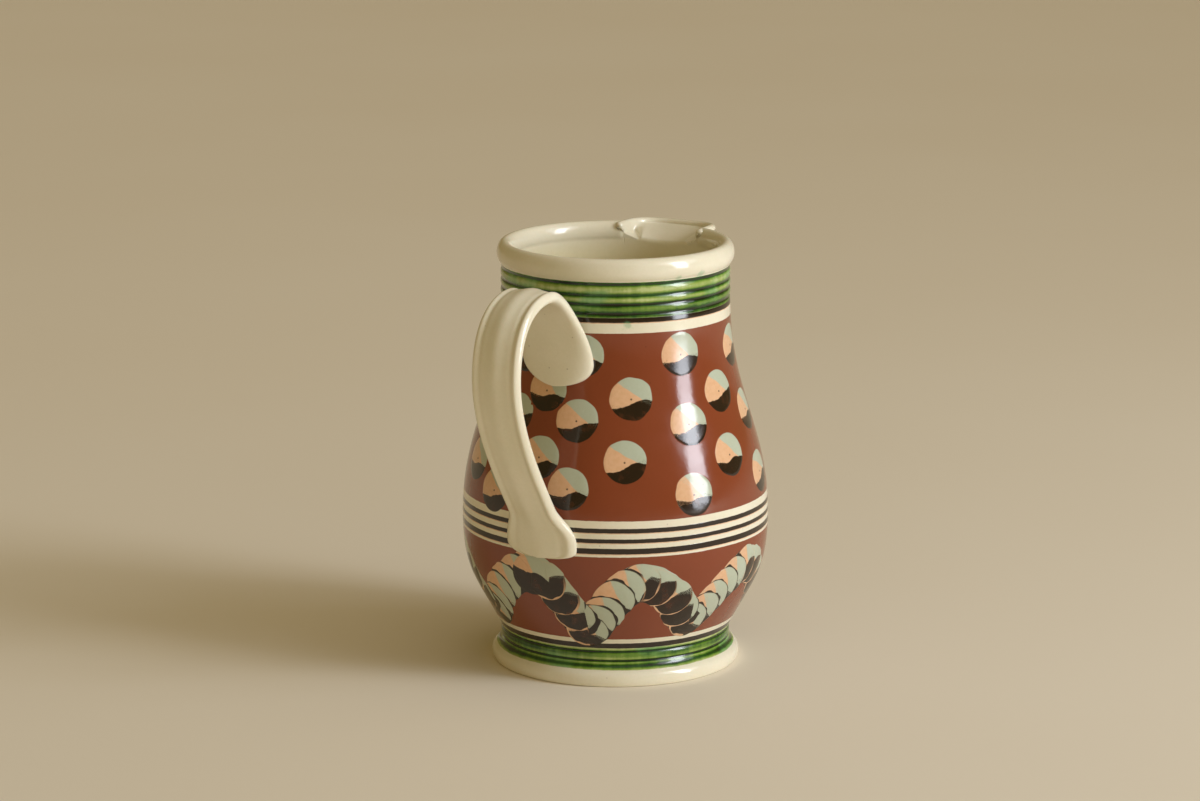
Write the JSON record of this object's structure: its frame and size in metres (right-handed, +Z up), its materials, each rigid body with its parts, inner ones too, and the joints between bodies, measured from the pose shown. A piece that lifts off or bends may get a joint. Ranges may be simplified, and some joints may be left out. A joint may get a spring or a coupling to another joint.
{
  "type": "mochaware pitcher",
  "caption": "Round-bellied pottery jug with a rolled rim, a let-in pouring lip, a ribbed strap handle and slip-decorated bands.",
  "frame": {"origin": "centre of the flat underside of the foot", "axes": "+Z up along the axis the body was turned on; +X towards the pouring lip; the handle is on the -X side, so the X-Z plane is the plane of symmetry"},
  "size_m": [0.1564, 0.1204, 0.167],
  "materials": {
    "slip_decorated_body": "clear lead glaze over red-brown slip with cream and dark bands, dropped tri-colour dots, a tri-colour cable and green glazed reeding",
    "cream_glaze": "clear glaze over cream-coloured earthenware"
  },
  "bodies": {
    "root": {"body": "slip_decorated_body", "handle": "cream_glaze", "spout": "cream_glaze"}
  },
  "joints": []
}
